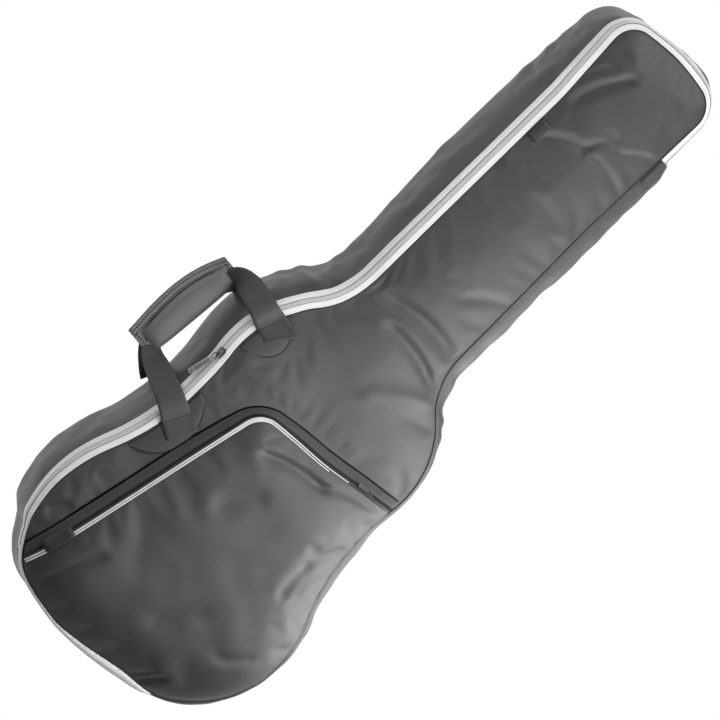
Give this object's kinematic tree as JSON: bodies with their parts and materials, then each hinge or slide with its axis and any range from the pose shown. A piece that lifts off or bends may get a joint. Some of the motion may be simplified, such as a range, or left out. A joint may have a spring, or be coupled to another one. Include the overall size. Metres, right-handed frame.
{
  "type": "padded gig bag",
  "caption": "Guitar-shaped padded soft case lying flat, with a wrap-round zipper, a zipped front pocket and a side carrying handle with a padded grip.",
  "frame": {"origin": "middle of the back panel's underside, on the bag's centre line", "axes": "+Y towards the head end, +Z out of the front panel, +X away from the carrying handle"},
  "size_m": [0.4682, 1.104, 0.133],
  "materials": {
    "shell_nylon": "satin woven nylon",
    "foam": "closed-cell foam",
    "lining": "brushed tricot",
    "zip_tape": "woven tape",
    "zip_coil": "moulded nylon coil",
    "light_piping": "corded piping",
    "black_tape": "woven tape",
    "black_coil": "moulded nylon coil",
    "bare_tab": "woven tab, blank",
    "bare_tab_dark": "woven tab, blank",
    "slider_metal": "nickel plated",
    "slider_black": "black enamel",
    "webbing": "woven webbing",
    "grip_fabric": "padded nylon",
    "hook_and_loop": "hook and loop tape"
  },
  "bodies": {
    "root": {"back_shell": "shell_nylon", "back_foam": "foam", "back_lining": "lining", "gusset_shell": "shell_nylon", "gusset_foam": "foam", "gusset_lining": "lining", "front_shell": "shell_nylon", "front_foam": "foam", "front_lining": "lining", "edge_fabric": "shell_nylon", "zip_tape_back": "zip_tape", "zip_coil_back": "zip_coil", "zip_end_low": "zip_tape", "zip_end_fold": "shell_nylon", "bottom_piping": "light_piping", "seam_piping": "shell_nylon", "pocket_wall": "shell_nylon", "pocket_panel": "shell_nylon", "pocket_tape_low": "black_tape", "pocket_coil_low": "black_coil", "tab_pocket": "bare_tab_dark", "handle_tabs_back": "webbing"},
    "flap": {"flap_shell": "shell_nylon", "flap_foam": "foam", "flap_lining": "lining", "zip_tape_front": "zip_tape", "zip_coil_front": "zip_coil", "tab_head": "bare_tab", "handle_patches": "shell_nylon", "handle_tabs": "webbing"},
    "main_slider": {"slider_body": "slider_metal"},
    "main_pull": {"pull_ring": "slider_metal", "pull_tab": "slider_metal"},
    "pocket_flap": {"pocket_flap": "shell_nylon", "pocket_tape_top": "black_tape", "pocket_coil_top": "black_coil", "pocket_piping": "light_piping"},
    "pocket_slider": {"pocket_slider": "slider_black"},
    "pocket_pull": {"pocket_pull": "slider_black"},
    "handle_front": {"webbing_front": "webbing", "grip_lower": "grip_fabric", "loop_strip": "hook_and_loop"},
    "grip_closure": {"grip_upper": "grip_fabric", "hook_strip": "hook_and_loop"},
    "handle_back": {"webbing_back": "webbing"}
  },
  "joints": [
    {"name": "front_flap_fold", "type": "hinge", "parent": "root", "child": "flap", "pos_m": [-0.16184, -0.49479, 0.115], "axis": [0.2628, 0.9648, 0], "range_deg": [0, 80]},
    {"name": "main_slider_travel", "type": "hinge", "parent": "flap", "child": "main_slider", "pos_m": [-0.45476, -0.198, 0.1065], "axis": [0, 0, -1], "range_deg": [0, 30]},
    {"name": "main_pull_swing", "type": "hinge", "parent": "main_slider", "child": "main_pull", "pos_m": [-0.16793, -0.15254, 0.11085], "axis": [-0.7804, -0.1306, -0.6114], "range_deg": [0, 170]},
    {"name": "pocket_flap_fold", "type": "hinge", "parent": "root", "child": "pocket_flap", "pos_m": [-0.13117, -0.49511, 0.13], "axis": [0.6354, 0.7722, 0], "range_deg": [0, 75]},
    {"name": "pocket_slider_travel", "type": "slide", "parent": "pocket_flap", "child": "pocket_slider", "axis": [-0.9951, -0.0993, 0], "range_m": [0, 0.15]},
    {"name": "pocket_pull_swing", "type": "hinge", "parent": "pocket_slider", "child": "pocket_pull", "pos_m": [0.12048, -0.14953, 0.12557], "axis": [-0.0678, 0.6789, -0.7311], "range_deg": [0, 160]},
    {"name": "handle_swing", "type": "hinge", "parent": "flap", "child": "handle_front", "pos_m": [-0.146, -0.155, 0.1178], "axis": [0, 1, 0], "range_deg": [0, 125]},
    {"name": "grip_wrap_open", "type": "hinge", "parent": "handle_front", "child": "grip_closure", "pos_m": [-0.203, -0.155, 0.0623], "axis": [0, 1, 0], "range_deg": [0, 90]},
    {"name": "rear_strap_swing", "type": "hinge", "parent": "root", "child": "handle_back", "pos_m": [-0.183, -0.155, 0.013], "axis": [0, -1, 0], "range_deg": [0, 65]}
  ]
}
